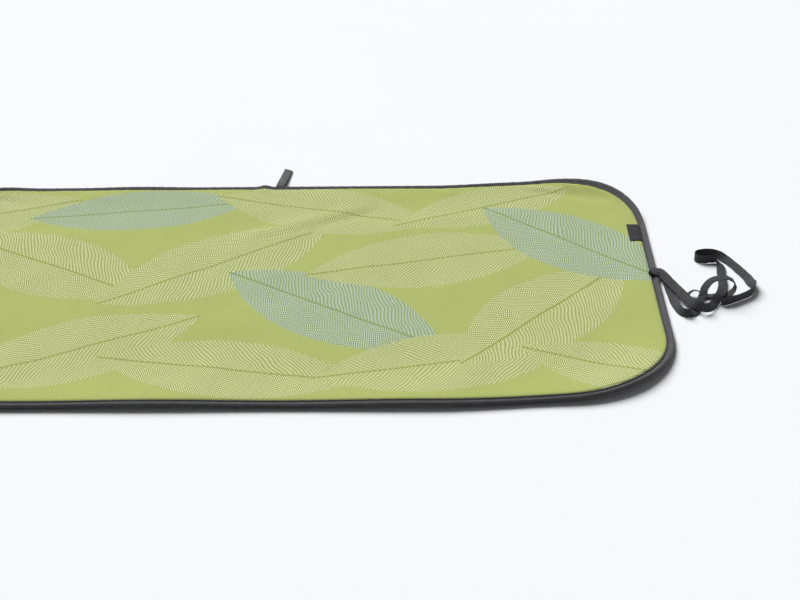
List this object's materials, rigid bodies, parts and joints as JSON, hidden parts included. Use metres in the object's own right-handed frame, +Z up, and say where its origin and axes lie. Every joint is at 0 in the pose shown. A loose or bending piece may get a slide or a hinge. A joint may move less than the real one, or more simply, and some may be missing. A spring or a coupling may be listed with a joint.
{
  "type": "ironing pad",
  "caption": "Flat rounded pad of printed cotton over felt and foam, with a bound edge, a hanging loop, a folded label and a tie of flat tape to hold it rolled up.",
  "frame": {"origin": "middle of the underside, on the table", "axes": "+X along the length towards the end with the tie, +Y towards the long edge with the hanging loop, +Z up from the table"},
  "size_m": [1.3404, 0.7242, 0.0338],
  "materials": {
    "cover_cotton": "printed woven cotton",
    "felt": "needled felt",
    "foam": "soft sheet foam",
    "backing_cotton": "plain woven cotton",
    "binding": "twill tape",
    "tape": "twill tape",
    "label": "woven satin, blank"
  },
  "bodies": {
    "pad": {"cover_cloth": "cover_cotton", "felt_layer": "felt", "foam_layer": "foam", "backing_cloth": "backing_cotton", "edge_binding": "binding", "tie_fold": "tape", "tie_tail_upper": "tape", "tie_tail_lower": "tape"},
    "loop": {"hanging_loop": "tape"},
    "tag": {"label": "label"}
  },
  "joints": [
    {"name": "loop_swing", "type": "hinge", "parent": "pad", "child": "loop", "pos_m": [0.003, 0.321, 0.0065], "axis": [1, 0, 0], "range_deg": [0, 150]},
    {"name": "label_flip", "type": "hinge", "parent": "pad", "child": "tag", "pos_m": [0.58777, 0.15, 0.00507], "axis": [0, 1, 0], "range_deg": [0, 135]}
  ]
}
